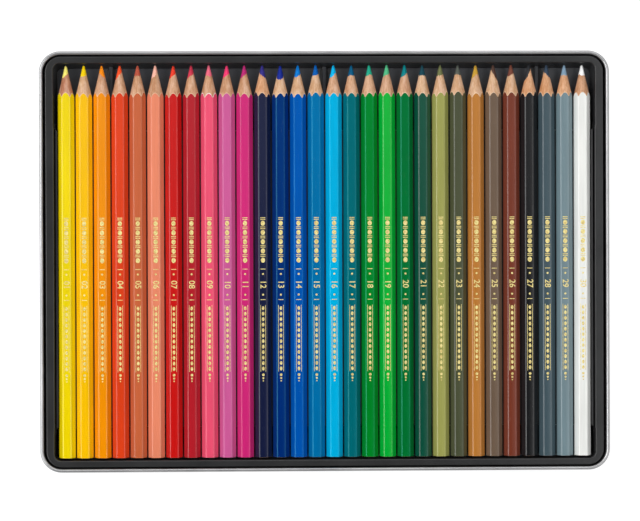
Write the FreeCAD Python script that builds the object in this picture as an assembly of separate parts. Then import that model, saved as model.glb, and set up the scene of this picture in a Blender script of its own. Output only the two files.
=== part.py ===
"""Watercolour pencil set: an open tin tray, a formed plastic insert and a row of pencils.

Millimetres, +Z up. The origin is on the table under the middle of the tin, +X runs along
the row from the first pencil to the last, and +Y runs along the pencils towards their tips.
"""
import FreeCAD
import Part
import math
import os

# Pencils
PENCIL_COLOURS = [
    "lemon_yellow", "golden_yellow", "orange", "vermilion", "terracotta", "salmon",
    "scarlet", "carmine", "rose_pink", "mauve", "magenta", "dark_violet",
    "navy_blue", "blue", "cobalt", "sky_blue", "petrol", "green",
    "bright_green", "emerald", "fir_green", "light_olive", "dark_olive", "ochre",
    "taupe", "maroon", "black", "slate", "steel_grey", "white",
]
PENCIL_LENGTH = 174.5
PENCIL_FLATS = 6.6
PENCIL_EDGE_RADIUS = 0.7
PENCIL_GAP = 0.522
CORE_DIAMETER = 2.9
CORE_GLUE_GAP = 0.02
POINT_ANGLE = 26.4
POINT_BLUNT_DIAMETER = 0.8
TAIL_CHAMFER = 0.35

# Formed plastic insert
INSERT_SHEET = 0.5
FLANGE_SIDE_WIDTH = 3.896
FLANGE_END_WIDTH = 3.045
FLANGE_ABOVE_PENCILS = 0.4
LIP_DEPTH = 2.0
GROOVE_CLEARANCE = 0.3
RIDGE_HOLLOW_WIDTH = 0.3
SIDE_ROOM = 1.62
SIDE_WALL_DRAFT = 0.15
STRIP_BELOW_FLANGE = 2.0
STRIP_CLEARANCE = 0.2
STRIP_WIDTH = 0.85
POCKET_CORNER_RADIUS = 3.0
WELL_FLOOR_CORNER_RADIUS = 2.2
WELL_DEPTH = 4.2
WELL_SIDE_RELIEF = 0.25
WELL_SIDE_DRAFT = 1.2
STEP_DRAFT = 1.2
TIP_WELL_LENGTH = 30.7
TIP_WALL_DRAFT = 1.8
TIP_CLEARANCE = 0.25
TAIL_WELL_LENGTH = 15.3
TAIL_WALL_DRAFT = 0.2
TAIL_CLEARANCE = 0.8
RIB_GAPS = [3, 15, 27]
RIB_BASE_WIDTH = 3.6
RIB_TOP_WIDTH = 1.5
RIB_BELOW_PENCILS = 0.8

# Tin tray
TIN_SHEET = 0.3
TIN_CORNER_RADIUS = 9.5
TIN_BASE_RADIUS = 2.0
RIM_RADIUS = 0.8
RIM_ABOVE_FLANGE = 1.0
RIM_CURL_END = 250.0
TIN_SIDE_GAP = 0.93
TIN_END_GAP = 0.59

# Pencil sections and the spacing of the row
COS30 = math.cos(math.radians(30.0))
PENCIL_COUNT = len(PENCIL_COLOURS)
APOTHEM = PENCIL_FLATS / 2.0
CORNER_REACH = (APOTHEM - PENCIL_EDGE_RADIUS) / COS30 + PENCIL_EDGE_RADIUS
PITCH = 2.0 * CORNER_REACH + PENCIL_GAP
ROW_HALF = (PENCIL_COUNT - 1) * PITCH / 2.0 + CORNER_REACH
POINT_SLOPE = math.tan(math.radians(POINT_ANGLE / 2.0))

# Heights
WELL_FLOOR_Z = TIN_SHEET + INSERT_SHEET
GROOVE_Z = WELL_FLOOR_Z + WELL_DEPTH
AXIS_Z = GROOVE_Z + APOTHEM
FLANGE_Z = GROOVE_Z + PENCIL_FLATS + FLANGE_ABOVE_PENCILS
RIM_Z = FLANGE_Z + RIM_ABOVE_FLANGE
RIDGE_TOP_WIDTH = RIDGE_HOLLOW_WIDTH + INSERT_SHEET / COS30
RIDGE_Z = AXIS_Z + (PITCH - RIDGE_TOP_WIDTH) * COS30 - 2.0 * (APOTHEM + GROOVE_CLEARANCE)
RIB_Z = GROOVE_Z - RIB_BELOW_PENCILS
STRIP_Z = FLANGE_Z - STRIP_BELOW_FLANGE

# Plan of the pocket, from the pencils outwards
BED_HALF_WIDTH = ROW_HALF + SIDE_ROOM
STRIP_INNER_X = ROW_HALF + STRIP_CLEARANCE
STRIP_OUTER_X = STRIP_INNER_X + STRIP_WIDTH
WELL_HALF_WIDTH = BED_HALF_WIDTH + WELL_SIDE_RELIEF
TIP_LEAN = TIP_WALL_DRAFT * (FLANGE_Z - AXIS_Z) / (FLANGE_Z - WELL_FLOOR_Z)
TIP_ROOM = TIP_LEAN + TIP_CLEARANCE
TAIL_ROOM = TAIL_WALL_DRAFT + TAIL_CLEARANCE
POCKET_HALF_LENGTH = (PENCIL_LENGTH + TIP_ROOM + TAIL_ROOM) / 2.0
TIP_Y = POCKET_HALF_LENGTH - TIP_ROOM
TAIL_Y = TIP_Y - PENCIL_LENGTH
TIP_STEP_Y = POCKET_HALF_LENGTH - TIP_WELL_LENGTH
TAIL_STEP_Y = TAIL_WELL_LENGTH - POCKET_HALF_LENGTH
FLANGE_HALF_WIDTH = BED_HALF_WIDTH + FLANGE_SIDE_WIDTH
FLANGE_HALF_LENGTH = POCKET_HALF_LENGTH + FLANGE_END_WIDTH

# Inside faces of the tin's walls
TIN_HALF_WIDTH = FLANGE_HALF_WIDTH + TIN_SIDE_GAP
TIN_HALF_LENGTH = FLANGE_HALF_LENGTH + TIN_END_GAP
TIN_INNER_RADIUS = TIN_CORNER_RADIUS - 2.0 * RIM_RADIUS
FLANGE_CORNER_RADIUS = TIN_INNER_RADIUS - max(TIN_SIDE_GAP, TIN_END_GAP)

UP = FreeCAD.Vector(0.0, 0.0, 1.0)
ALONG = FreeCAD.Vector(0.0, 1.0, 0.0)
PENCIL_AXIS = FreeCAD.Vector(0.0, 0.0, AXIS_Z)


def rounded_wire(corners, radius):
    """A closed wire through the corners in order, each rounded to the radius."""
    edges = []
    starts = []
    count = len(corners)
    for i in range(count):
        corner = corners[i]
        back = (corners[i - 1] - corner).normalize()
        ahead = (corners[(i + 1) % count] - corner).normalize()
        half_turn = back.getAngle(ahead) / 2.0
        inward = (back + ahead).normalize()
        reach = radius / math.tan(half_turn)
        start = corner + back * reach
        end = corner + ahead * reach
        middle = corner + inward * (radius / math.sin(half_turn) - radius)
        starts.append((start, end))
        edges.append(Part.Arc(start, middle, end).toShape())
    for i in range(count):
        edges.append(Part.LineSegment(starts[i][1], starts[(i + 1) % count][0]).toShape())
    return Part.Wire(Part.__sortEdges__(edges))


def rounded_rectangle(x0, x1, y0, y1, z, radius):
    """A level rounded rectangle at height z."""
    corners = [
        FreeCAD.Vector(x0, y0, z),
        FreeCAD.Vector(x1, y0, z),
        FreeCAD.Vector(x1, y1, z),
        FreeCAD.Vector(x0, y1, z),
    ]
    return rounded_wire(corners, radius)


def rounded_plate(half_width, half_length, z0, z1, radius):
    """A level plate with rounded corners, centred on the tin."""
    outline = rounded_rectangle(-half_width, half_width, -half_length, half_length, z0, radius)
    return Part.Face(outline).extrude(UP * (z1 - z0))


def prism_along_y(points, y0, y1):
    """An upright section of (x, z) points, carried along Y from y0 to y1."""
    corners = [FreeCAD.Vector(x, y0, z) for x, z in points]
    return Part.Face(Part.makePolygon(corners + corners[:1])).extrude(ALONG * (y1 - y0))


def pencil_x(index):
    """The axis of a pencil, counted from 0 at the left."""
    return (index - (PENCIL_COUNT - 1) / 2.0) * PITCH


def sharpened_envelope():
    """The turned outline of a pencil: cone, blunt point and chamfered tail."""
    tip_radius = POINT_BLUNT_DIAMETER / 2.0
    turned_radius = CORNER_REACH + TAIL_CHAMFER
    cone_y = TIP_Y - (turned_radius - tip_radius) / POINT_SLOPE
    tail_radius = CORNER_REACH - TAIL_CHAMFER
    outline = [
        FreeCAD.Vector(0.0, TIP_Y, AXIS_Z),
        FreeCAD.Vector(tip_radius, TIP_Y, AXIS_Z),
        FreeCAD.Vector(turned_radius, cone_y, AXIS_Z),
        FreeCAD.Vector(turned_radius, TAIL_Y + 2.0 * TAIL_CHAMFER, AXIS_Z),
        FreeCAD.Vector(tail_radius, TAIL_Y, AXIS_Z),
        FreeCAD.Vector(0.0, TAIL_Y, AXIS_Z),
    ]
    face = Part.Face(Part.makePolygon(outline + outline[:1]))
    return face.revolve(PENCIL_AXIS, ALONG, 360.0)


def core_bar(radius):
    """A round bar on the pencil's axis, a little longer than the pencil at both ends."""
    start = FreeCAD.Vector(0.0, TAIL_Y - CORE_DIAMETER, AXIS_Z)
    return Part.makeCylinder(radius, PENCIL_LENGTH + 2.0 * CORE_DIAMETER, start, ALONG)


def pencil():
    """One pencil on the middle line: a bored hexagonal casing and its core, as two solids."""
    corners = []
    for side in range(6):
        angle = math.radians(60.0 * side)
        reach = APOTHEM / COS30
        corner = FreeCAD.Vector(reach * math.cos(angle), TAIL_Y, AXIS_Z + reach * math.sin(angle))
        corners.append(corner)
    blank = Part.Face(rounded_wire(corners, PENCIL_EDGE_RADIUS)).extrude(ALONG * PENCIL_LENGTH)
    envelope = sharpened_envelope()
    core_radius = CORE_DIAMETER / 2.0
    casing = blank.common(envelope).cut(core_bar(core_radius + CORE_GLUE_GAP))
    core = core_bar(core_radius).common(envelope)
    return Part.makeCompound([casing.Solids[0], core.Solids[0]])


def groove_edge(z, grow):
    """Half the width of a groove at height z, grown by a sheet thickness or by nothing."""
    return (APOTHEM + GROOVE_CLEARANCE + grow + (z - AXIS_Z) / 2.0) / COS30


def bed_section(grow):
    """The open space over the groove bed as (x, z) points, grown by a sheet or by nothing.

    The strips beside the outermost pencils are solid, so only the sheet's upper side shows them.
    """
    ridge_z = RIDGE_Z - grow
    groove_z = GROOVE_Z - grow
    wall_x = BED_HALF_WIDTH + grow
    foot_x = wall_x - SIDE_WALL_DRAFT
    strip = []
    if grow == 0.0:
        strip = [(STRIP_OUTER_X, ridge_z), (STRIP_OUTER_X, STRIP_Z)]
        strip += [(STRIP_INNER_X, STRIP_Z), (STRIP_INNER_X, ridge_z)]
    side = [(wall_x, FLANGE_Z), (foot_x, ridge_z)] + strip
    points = [(-x, z) for x, z in side]
    for index in range(PENCIL_COUNT):
        x = pencil_x(index)
        top = groove_edge(ridge_z, grow)
        bottom = groove_edge(groove_z, grow)
        points += [(x - top, ridge_z), (x - bottom, groove_z)]
        points += [(x + bottom, groove_z), (x + top, ridge_z)]
    return points + side[::-1]


def well_space(y0, y1, draft0, draft1, grow):
    """The open space of a well from y0 to y1, whose walls there lean in by draft0 and draft1."""
    top_x = WELL_HALF_WIDTH + grow
    floor_x = top_x - WELL_SIDE_DRAFT
    top = rounded_rectangle(-top_x, top_x, y0 - grow, y1 + grow, FLANGE_Z, POCKET_CORNER_RADIUS)
    floor = rounded_rectangle(
        -floor_x, floor_x, y0 - grow + draft0, y1 + grow - draft1,
        WELL_FLOOR_Z - grow, WELL_FLOOR_CORNER_RADIUS,
    )
    return Part.makeLoft([top, floor], True, True)


def rib_bars(grow):
    """The stiffening ribs of the tip well as bars that run through both of its end walls."""
    slope = (RIB_BASE_WIDTH - RIB_TOP_WIDTH) / 2.0 / (RIB_Z - WELL_FLOOR_Z)
    shrink = grow * math.sqrt(1.0 + slope * slope)
    foot_z = -INSERT_SHEET
    top_z = RIB_Z - grow
    top_half = RIB_TOP_WIDTH / 2.0 - shrink + slope * grow
    foot_half = top_half + slope * (top_z - foot_z)
    y0 = TIP_STEP_Y - STEP_DRAFT - INSERT_SHEET
    y1 = POCKET_HALF_LENGTH + 2.0 * INSERT_SHEET
    bars = []
    for gap in RIB_GAPS:
        x = (pencil_x(gap - 1) + pencil_x(gap)) / 2.0
        points = [(x - foot_half, foot_z), (x + foot_half, foot_z)]
        points += [(x + top_half, top_z), (x - top_half, top_z)]
        bars.append(prism_along_y(points, y0, y1))
    return bars


def pocket_space(grow):
    """The whole open space above the formed sheet, or the same grown by the sheet's thickness."""
    bed_reach = STEP_DRAFT + POCKET_CORNER_RADIUS
    bed = prism_along_y(bed_section(grow), TAIL_STEP_Y - bed_reach, TIP_STEP_Y + bed_reach)
    tip_well = well_space(TIP_STEP_Y, POCKET_HALF_LENGTH, STEP_DRAFT, TIP_WALL_DRAFT, grow)
    tail_well = well_space(-POCKET_HALF_LENGTH, TAIL_STEP_Y, TAIL_WALL_DRAFT, STEP_DRAFT, grow)
    return tip_well.cut(rib_bars(grow)).fuse([tail_well, bed])


def pencil_insert():
    """The formed insert: flange with a turned-down lip, two wells, the groove bed and two side strips."""
    flange = rounded_plate(
        FLANGE_HALF_WIDTH, FLANGE_HALF_LENGTH, FLANGE_Z - INSERT_SHEET, FLANGE_Z, FLANGE_CORNER_RADIUS,
    )
    lip_outside = rounded_plate(
        FLANGE_HALF_WIDTH, FLANGE_HALF_LENGTH, FLANGE_Z - LIP_DEPTH, FLANGE_Z, FLANGE_CORNER_RADIUS,
    )
    lip_inside = rounded_plate(
        FLANGE_HALF_WIDTH - INSERT_SHEET, FLANGE_HALF_LENGTH - INSERT_SHEET,
        FLANGE_Z - LIP_DEPTH, FLANGE_Z, FLANGE_CORNER_RADIUS - INSERT_SHEET,
    )
    lip = lip_outside.cut(lip_inside)
    formed = flange.fuse([lip, pocket_space(INSERT_SHEET)]).cut(pocket_space(0.0))
    return formed.removeSplitter()


def rim_point(centre, radius, degrees):
    """A point of the rolled rim's section."""
    angle = math.radians(degrees)
    return centre + FreeCAD.Vector(radius * math.cos(angle), 0.0, radius * math.sin(angle))


def tin_wall_section(inner_x):
    """The tin's wall as a face in the XZ plane: bottom bend, upright wall and outward rolled rim."""
    outer_x = inner_x + TIN_SHEET
    bend = FreeCAD.Vector(outer_x - TIN_BASE_RADIUS, 0.0, TIN_BASE_RADIUS)
    bend_inside = TIN_BASE_RADIUS - TIN_SHEET
    curl = FreeCAD.Vector(inner_x + RIM_RADIUS, 0.0, RIM_Z - RIM_RADIUS)
    curl_inside = RIM_RADIUS - TIN_SHEET
    curl_middle = (180.0 + RIM_CURL_END - 360.0) / 2.0
    bend_out = [rim_point(bend, TIN_BASE_RADIUS, angle) for angle in (0.0, -45.0, -90.0)]
    bend_in = [rim_point(bend, bend_inside, angle) for angle in (-90.0, -45.0, 0.0)]
    curl_out = [rim_point(curl, RIM_RADIUS, angle) for angle in (180.0, curl_middle, RIM_CURL_END)]
    curl_in = [rim_point(curl, curl_inside, angle) for angle in (RIM_CURL_END, curl_middle, 180.0)]
    edges = [
        Part.LineSegment(bend_in[2], curl_out[0]).toShape(),
        Part.Arc(curl_out[0], curl_out[1], curl_out[2]).toShape(),
        Part.LineSegment(curl_out[2], curl_in[0]).toShape(),
        Part.Arc(curl_in[0], curl_in[1], curl_in[2]).toShape(),
        Part.LineSegment(curl_in[2], bend_out[0]).toShape(),
        Part.Arc(bend_out[0], bend_out[1], bend_out[2]).toShape(),
        Part.LineSegment(bend_out[2], bend_in[0]).toShape(),
        Part.Arc(bend_in[0], bend_in[1], bend_in[2]).toShape(),
    ]
    return Part.Face(Part.Wire(edges))


def tin_tray():
    """The tin: floor, four straight walls and four turned corners."""
    corner_x = TIN_HALF_WIDTH - TIN_INNER_RADIUS
    corner_y = TIN_HALF_LENGTH - TIN_INNER_RADIUS
    bend_reach = TIN_BASE_RADIUS - TIN_SHEET
    pieces = []
    for turn in range(4):
        along_x = turn % 2 == 1
        distance = corner_y if along_x else corner_x
        run = corner_x if along_x else corner_y
        section = tin_wall_section(distance + TIN_INNER_RADIUS)
        section.translate(ALONG * -run)
        wall = section.extrude(ALONG * (2.0 * run))
        corner_section = tin_wall_section(distance + TIN_INNER_RADIUS)
        corner_section.translate(ALONG * run)
        corner_axis = FreeCAD.Vector(distance, run, 0.0)
        corner = corner_section.revolve(corner_axis, UP, 90.0)
        for piece in (wall, corner):
            piece.rotate(FreeCAD.Vector(0.0, 0.0, 0.0), UP, 90.0 * turn)
            pieces.append(piece)
    floor = rounded_plate(
        TIN_HALF_WIDTH - bend_reach, TIN_HALF_LENGTH - bend_reach,
        0.0, TIN_SHEET, TIN_INNER_RADIUS - bend_reach,
    )
    return floor.fuse(pieces).removeSplitter()


def main():
    """Write every sub-part and say its size."""
    os.makedirs("parts", exist_ok=True)
    nodes = {"tin_tray": tin_tray(), "pencil_insert": pencil_insert()}
    blank = pencil()
    for index, colour in enumerate(PENCIL_COLOURS):
        one = blank.copy()
        one.translate(FreeCAD.Vector(pencil_x(index), 0.0, 0.0))
        nodes["pencil_%02d_%s" % (index + 1, colour)] = one
    for name, shape in nodes.items():
        shape.exportStep("parts/%s.step" % name)
        box = shape.optimalBoundingBox(False, False)
        sizes = (box.XLength, box.YLength, box.ZLength)
        print("%s: %d solids, valid %s, %.2f x %.2f x %.2f mm" % (
            (name, len(shape.Solids), shape.isValid()) + sizes))


main()
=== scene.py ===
"""Dresses the watercolour pencil set: rolled tin, formed insert and thirty sharpened pencils.

Sizes are millimetres in the CAD model's frame: the origin is on the table under the middle of the
tin, +X runs along the row and +Y along the pencils towards their tips. Meshes are drawn in
millimetres and scaled to metres when their object is made.
"""
import logging
import math
import random
from dataclasses import dataclass, field
from enum import Enum
from typing import Optional, Sequence, Union

import bmesh
import bpy
from bmesh.types import BMEdge, BMesh, BMFace, BMVert
from mathutils import Matrix, Vector


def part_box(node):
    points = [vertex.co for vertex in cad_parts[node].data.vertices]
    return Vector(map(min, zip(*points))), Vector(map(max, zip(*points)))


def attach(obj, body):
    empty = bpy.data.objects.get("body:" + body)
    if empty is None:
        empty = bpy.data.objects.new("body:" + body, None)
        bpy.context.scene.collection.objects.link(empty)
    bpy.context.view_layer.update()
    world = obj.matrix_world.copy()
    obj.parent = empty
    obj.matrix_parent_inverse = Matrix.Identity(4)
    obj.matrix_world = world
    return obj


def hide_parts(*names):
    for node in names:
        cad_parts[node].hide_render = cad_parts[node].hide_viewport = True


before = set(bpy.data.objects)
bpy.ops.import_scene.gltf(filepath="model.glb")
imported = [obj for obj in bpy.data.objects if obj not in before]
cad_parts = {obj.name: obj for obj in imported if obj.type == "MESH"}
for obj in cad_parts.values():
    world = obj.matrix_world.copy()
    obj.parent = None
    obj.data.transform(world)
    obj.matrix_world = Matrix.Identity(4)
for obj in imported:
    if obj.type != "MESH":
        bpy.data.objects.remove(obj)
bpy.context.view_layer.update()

LOG = logging.getLogger("pencil_set")
MM = 0.001
WELD = 1e-4
NEAR = 1e-3
COS30 = math.cos(math.radians(30.0))
TAN30 = math.tan(math.radians(30.0))

# Pencil sizes that the insert and the finishes share
FLATS = 6.6
APOTHEM = FLATS / 2.0
EDGE_RADIUS = 0.7
CORNER_REACH = (APOTHEM - EDGE_RADIUS) / COS30 + EDGE_RADIUS
TOP_HALF = APOTHEM * TAN30
ROW_GAP = 0.522
PITCH = 2.0 * CORNER_REACH + ROW_GAP
PENCIL_COUNT = 30
GROOVE_Z = 5.0
AXIS_Z = GROOVE_Z + APOTHEM
FLANGE_Z = 12.0

Place = tuple[float, float, float]
Colour = tuple[float, float, float, float]
Value = Union["Signal", bpy.types.NodeSocket, float, tuple]
Owner = Union[bpy.types.Material, bpy.types.World]

ALONG: Place = (0.0, 1.0, 0.0)
UP: Place = (0.0, 0.0, 1.0)
WHITE: Colour = (1.0, 1.0, 1.0, 1.0)
# Features of the wood's fibre per millimetre; they show through the lacquer too
FIBRE: Place = (1.7, 0.05, 1.7)


def linear(code: str, gain: float = 1.0) -> Colour:
    """Turns a paint chart's hex code into a linear colour.

    Args:
        code: Six hex digits.
        gain: How much lighter or darker the result is.

    Returns:
        Red, green, blue and an alpha of one.
    """
    parts = [int(code[i:i + 2], 16) / 255.0 for i in (0, 2, 4)]
    lit = [p / 12.92 if p <= 0.04045 else ((p + 0.055) / 1.055) ** 2.4 for p in parts]
    return (lit[0] * gain, lit[1] * gain, lit[2] * gain, 1.0)


class Signal:
    """A value that varies over a surface; arithmetic on it adds Math nodes."""

    def __init__(self, graph: "Graph", socket: bpy.types.NodeSocket) -> None:
        """Wraps a socket of the graph."""
        self.graph = graph
        self.socket = socket

    def __add__(self, other: Value) -> "Signal":
        """Sum."""
        return self.graph.math("ADD", self, other)

    def __radd__(self, other: Value) -> "Signal":
        """Sum with a number on the left."""
        return self.graph.math("ADD", other, self)

    def __sub__(self, other: Value) -> "Signal":
        """Difference."""
        return self.graph.math("SUBTRACT", self, other)

    def __rsub__(self, other: Value) -> "Signal":
        """Difference from a number on the left."""
        return self.graph.math("SUBTRACT", other, self)

    def __mul__(self, other: Value) -> "Signal":
        """Product."""
        return self.graph.math("MULTIPLY", self, other)

    def __rmul__(self, other: Value) -> "Signal":
        """Product with a number on the left."""
        return self.graph.math("MULTIPLY", other, self)

    def __abs__(self) -> "Signal":
        """Size without sign."""
        return self.graph.math("ABSOLUTE", self)

    def rise(self, low: float, high: float) -> "Signal":
        """Goes smoothly from 0 at low to 1 at high."""
        sockets = {"Value": self, "From Min": low, "From Max": high}
        return self.graph.value("ShaderNodeMapRange", {"interpolation_type": "SMOOTHSTEP"}, sockets)


class Graph:
    """The node tree of one finish, or of the surroundings."""

    def __init__(self, owner: Owner) -> None:
        """Empties the owner's tree.

        Args:
            owner: The material or the world that the tree belongs to.
        """
        owner.use_nodes = True
        self.owner = owner
        self.tree = owner.node_tree
        self.tree.nodes.clear()

    @classmethod
    def finish(cls, name: str) -> "Graph":
        """Starts a new material."""
        return cls(bpy.data.materials.new(name))

    def node(
        self, kind: str, settings: Optional[dict] = None, sockets: Optional[dict] = None,
    ) -> bpy.types.Node:
        """Adds a node.

        Args:
            kind: Blender's type of the node.
            settings: Properties to set first.
            sockets: Values or links of its inputs, by name or index.

        Returns:
            The new node.
        """
        made = self.tree.nodes.new(kind)
        for name, value in (settings or {}).items():
            setattr(made, name, value)
        for name, value in (sockets or {}).items():
            if isinstance(value, Signal):
                value = value.socket
            if isinstance(value, bpy.types.NodeSocket):
                self.tree.links.new(value, made.inputs[name])
            else:
                made.inputs[name].default_value = value
        return made

    def value(
        self, kind: str, settings: Optional[dict] = None, sockets: Optional[dict] = None,
        output: Union[int, str] = 0,
    ) -> Signal:
        """Adds a node, with the arguments of node(), and gives one of its outputs."""
        return Signal(self, self.node(kind, settings, sockets).outputs[output])

    def math(self, operation: str, *values: Value) -> Signal:
        """Adds one Math node."""
        return self.value("ShaderNodeMath", {"operation": operation}, dict(enumerate(values)))

    def millimetres(self, stretch: Place = (1.0, 1.0, 1.0)) -> bpy.types.NodeSocket:
        """Object coordinates in millimetres.

        Args:
            stretch: What each axis is multiplied by.

        Returns:
            The vector.
        """
        coords = self.node("ShaderNodeTexCoord").outputs["Object"]
        sockets = {"Vector": coords, "Scale": tuple(s / MM for s in stretch)}
        return self.node("ShaderNodeMapping", None, sockets).outputs["Vector"]

    def split(self, vector: bpy.types.NodeSocket) -> tuple[Signal, ...]:
        """The three parts of a vector."""
        parts = self.node("ShaderNodeSeparateXYZ", None, {"Vector": vector}).outputs
        return tuple(Signal(self, part) for part in parts)

    def across(self) -> Signal:
        """Distance from the nearest pencil's middle plane, in millimetres."""
        along = self.split(self.millimetres())[0]
        return abs(self.math("FRACT", along * (1.0 / PITCH)) - 0.5) * PITCH

    def noise(self, stretch: Place, detail: float = 2.0, roughness: float = 0.5) -> Signal:
        """Smooth noise with features of about one millimetre over the stretch.

        Args:
            stretch: Features per millimetre along each axis.
            detail: How many finer layers it has.
            roughness: How strong the finer layers are.

        Returns:
            Values from 0 to 1, around a half.
        """
        sockets = {"Vector": self.millimetres(stretch), "Scale": 1.0}
        sockets |= {"Detail": detail, "Roughness": roughness}
        return self.value("ShaderNodeTexNoise", None, sockets)

    def blend(self, amount: Value, first: Value, second: Value) -> bpy.types.NodeSocket:
        """Mixes two colours by an amount from 0 to 1."""
        settings = {"data_type": "RGBA", "clamp_factor": True}
        return self.node("ShaderNodeMix", settings, {0: amount, 6: first, 7: second}).outputs[2]

    def bump(self, height: Signal, depth: float) -> bpy.types.NodeSocket:
        """A normal that follows a height whose full range is depth millimetres."""
        sockets = {"Height": height, "Distance": depth * MM, "Strength": 1.0}
        return self.node("ShaderNodeBump", None, sockets).outputs["Normal"]

    def surface(self, sockets: dict) -> bpy.types.Material:
        """Ends the tree in a Principled shader.

        Args:
            sockets: Values or links of the shader's inputs.

        Returns:
            The finished material.
        """
        shader = self.node("ShaderNodeBsdfPrincipled", None, sockets)
        self.node("ShaderNodeOutputMaterial", None, {"Surface": shader.outputs[0]})
        return self.owner


class Timber(Enum):
    """Tones of the cedar: pale streaks and deep streaks."""

    ROSE = ("C98D6C", "A66546")
    PINK = ("D7AB88", "B9825D")
    HONEY = ("E1B088", "C48656")
    TAN = ("D6A682", "B37B52")
    PALE = ("E0BB97", "C39167")


@dataclass(frozen=True)
class Cedar:
    """Sharpened wood: streaks, pores, blade marks and a pale rim under the lacquer.

    Attributes:
        timber: The tone of the wood.
        primed: Whether a white primer shows between the wood and the lacquer.
        rim: Hex code of the bruised wood at the rim.
        primer: Hex code of the primer.
        sheen_glaze: Hex code of the smoother patches, whose paler colour is a painted sheen.
        pore: Hex code of the pores.
        rim_width: How deep under the hexagon's skin the rim begins.
        rim_show: How strongly bare bruised wood shows at the rim.
        roughness: The smoothest the wood gets, before planing.
        relief: Height of the fibres and blade marks.
    """

    timber: Timber
    primed: bool = False
    rim: str = "F0D6B8"
    primer: str = "F6F2EC"
    sheen_glaze: str = "EBC8B0"
    pore: str = "8A5A38"
    rim_width: float = 0.10
    rim_show: float = 0.55
    roughness: float = 0.5
    relief: float = 0.06

    def material(self) -> bpy.types.Material:
        """Builds the finish.

        Returns:
            The wood's material.
        """
        name = "cedar_" + self.timber.name.lower()
        graph = Graph.finish(name + "_primed" if self.primed else name)
        pale, deep = self.timber.value
        board = graph.noise((0.28, 0.03, 0.28), 2.0)
        fibre = graph.noise(FIBRE, 4.0, 0.65)
        pores = graph.noise((6.0, 0.30, 6.0), 2.0).rise(0.58, 0.74)
        blade = graph.noise((0.08, 2.2, 0.08), 2.0)
        # Smoother patches of the wood; their paler colour is a painted sheen
        planed_sheen = graph.noise((0.40, 0.10, 0.40), 1.0).rise(0.50, 0.68)
        streak = (board * 0.7 + fibre * 1.3 - 0.5).rise(0.25, 0.78)
        tone = graph.blend(streak, linear(deep), linear(pale))
        tone = graph.blend(planed_sheen * 0.3, tone, linear(self.sheen_glaze))
        tone = graph.blend(pores * 0.40, tone, linear(self.pore))
        rim = self._rim(graph, fibre) * (1.0 if self.primed else self.rim_show)
        tone = graph.blend(rim, tone, linear(self.primer if self.primed else self.rim))
        relief = fibre * 0.5 + blade * 0.35 - pores * 0.3
        return graph.surface({
            "Base Color": tone,
            "Roughness": self.roughness + fibre * 0.2 - planed_sheen * 0.1,
            "Normal": graph.bump(relief, self.relief),
        })

    def _rim(self, graph: Graph, fibre: Signal) -> Signal:
        """How near a point is to the lacquered hexagon.

        Args:
            graph: The finish's tree.
            fibre: The wood's fibre, which frays the rim.

        Returns:
            Values from 0 inside to 1 at the hexagon's skin.
        """
        across = graph.across()
        height = abs(graph.split(graph.millimetres())[2] - AXIS_Z)
        reach = graph.math("MAXIMUM", height, across * COS30 + height * 0.5)
        return (reach + fibre * 0.08).rise(APOTHEM - self.rim_width, APOTHEM + 0.03)


class Gloss(Enum):
    """How an enamel tints what it reflects."""

    CLEAR = WHITE
    COLD = (0.2, 0.95, 1.0, 1.0)


@dataclass(frozen=True)
class Lacquer:
    """Glossy enamel on wood: crowned facets, orange peel, faint grain, dust nibs and scuffs.

    Attributes:
        name: The colour's name.
        colour: Hex code of the enamel.
        gloss: How the enamel tints what it reflects.
        dust: Colour of the nibs and scuffs.
        drift: How far the tone wanders, lighter and darker.
        roughness: The smoothest the enamel gets.
        specular: How strongly it reflects.
        crown: How much the top facet is crowned.
        ease: How much the flow of the enamel eases the flanks.
        relief: Height of grain, peel and nibs.
    """

    name: str
    colour: str
    gloss: Gloss = Gloss.CLEAR
    dust: Colour = (0.75, 0.74, 0.72, 1.0)
    drift: float = 0.06
    roughness: float = 0.11
    specular: float = 0.6
    crown: float = 0.018
    ease: float = 0.36
    relief: float = 0.012

    def material(self) -> bpy.types.Material:
        """Builds the finish.

        Returns:
            The enamel's material.
        """
        graph = Graph.finish("lacquer_" + self.name)
        grain = graph.noise(FIBRE, 3.0, 0.6)
        cloud = graph.noise((0.22, 0.035, 0.22), 2.0)
        peel = graph.noise((1.1, 0.7, 1.1), 1.0)
        nibs = graph.noise((4.2, 4.2, 4.2), 1.0).rise(0.76, 0.82)
        scuff = graph.noise((5.0, 0.25, 5.0), 2.0).rise(0.66, 0.80)
        body = (grain * 0.5 + cloud * 0.5).rise(0.3, 0.7)
        deep, pale = (linear(self.colour, 1.0 + way * self.drift) for way in (-1.0, 1.0))
        tone = graph.blend(body, deep, pale)
        tone = graph.blend(nibs * 0.22 + scuff * 0.06, tone, self.dust)
        across = graph.across()
        top = graph.math("MINIMUM", across, TOP_HALF)
        form = (across - top) * self.ease - top * top * self.crown
        height = grain * 0.35 + peel * 0.65 + nibs * 0.6 + form * (1.0 / self.relief)
        return graph.surface({
            "Base Color": tone,
            "Roughness": self.roughness + cloud * 0.05 + scuff * 0.16 + nibs * 0.2,
            "Normal": graph.bump(height, self.relief),
            "Specular IOR Level": self.specular,
            "Specular Tint": self.gloss.value,
        })


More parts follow.
